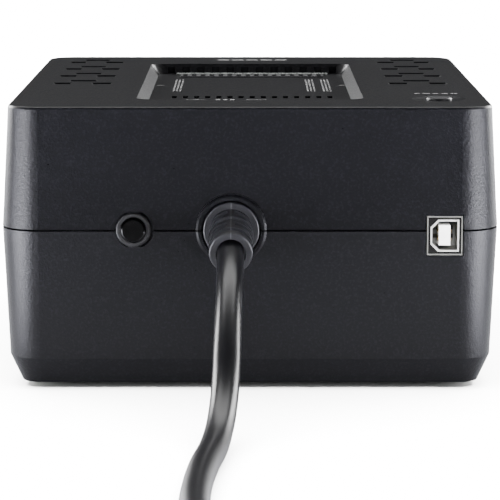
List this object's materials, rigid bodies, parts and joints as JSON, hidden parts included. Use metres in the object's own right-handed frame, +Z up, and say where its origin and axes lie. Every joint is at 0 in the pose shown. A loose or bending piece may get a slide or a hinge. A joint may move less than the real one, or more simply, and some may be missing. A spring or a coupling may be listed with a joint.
{
  "type": "uninterruptible power supply",
  "caption": "Compact desktop uninterruptible power supply: two-part rounded case with a vented well, side sockets, rear cord, breaker and data socket.",
  "frame": {"origin": "under the middle of the case, on the surface that its four feet stand on", "axes": "+Z up, -Y out of the rear panel with the cord, +X to the right of someone facing that panel"},
  "size_m": [0.1824, 0.567, 0.0867],
  "materials": {
    "case_black": "fine spark-eroded texture",
    "socket_black": "satin",
    "button_grey": "satin",
    "lens": "translucent, polished",
    "grille": "matt",
    "rubber": "matt",
    "cord": "smooth, slightly glossy jacket",
    "screw": "zinc plated",
    "brass": "stamped",
    "nickel": "nickel plated",
    "white_plastic": "satin",
    "board": "solder mask",
    "component": "moulded",
    "battery_case": "moulded",
    "core": "laminated",
    "winding": "enamelled copper under tape",
    "aluminium": "extruded",
    "lead_red": "smooth",
    "lead_black": "smooth"
  },
  "bodies": {
    "case": {"base_shell": "case_black", "top_cover": "case_black", "status_bar": "lens", "well_grille": "grille", "button_dome": "rubber", "power_switch": "component", "switch_board": "board", "breaker_body": "component", "breaker_bushing": "socket_black", "usb_shell": "nickel", "usb_tongue": "white_plastic", "usb_board": "board", "strain_relief": "rubber", "power_cord": "cord", "cord_coil": "cord", "cord_tail": "cord", "plug_relief": "cord", "plug_body": "cord", "plug_pin": "nickel", "battery": "battery_case", "main_board": "board", "transformer_core": "core", "transformer_coil": "winding", "heatsink": "aluminium", "relay_1": "component", "relay_2": "component", "capacitor_1": "component", "capacitor_2": "component", "fuse_holder": "component", "buzzer": "component", "choke": "winding", "foot_1": "rubber", "case_screw_1": "screw", "foot_2": "rubber", "case_screw_2": "screw", "foot_3": "rubber", "case_screw_3": "screw", "foot_4": "rubber", "case_screw_4": "screw", "socket_left_1": "socket_black", "socket_left_2": "socket_black", "socket_left_3": "socket_black", "live_bar_left": "brass", "neutral_bar_left": "brass", "earth_bar_left": "brass", "socket_right_1": "socket_black", "socket_right_2": "socket_black", "socket_right_3": "socket_black", "live_bar_right": "brass", "neutral_bar_right": "brass", "earth_bar_right": "brass", "battery_tab_1": "brass", "plug_blade_1": "nickel", "battery_tab_2": "brass", "plug_blade_2": "nickel", "battery_lead_1": "lead_black", "battery_lead_2": "lead_red"},
    "button": {"power_button": "button_grey"},
    "reset": {"breaker_button": "socket_black"},
    "door": {"battery_door": "case_black"}
  },
  "joints": [
    {"name": "power_press", "type": "slide", "parent": "case", "child": "button", "axis": [0, 0, -1], "range_m": [0, 0.0015], "stiffness_N_per_m": 1200, "deforming": ["button_dome"]},
    {"name": "breaker_trip", "type": "slide", "parent": "case", "child": "reset", "axis": [0, -1, 0], "range_m": [0, 0.003]},
    {"name": "door_slide", "type": "slide", "parent": "case", "child": "door", "axis": [0, 1, 0], "range_m": [0, 0.06]}
  ]
}
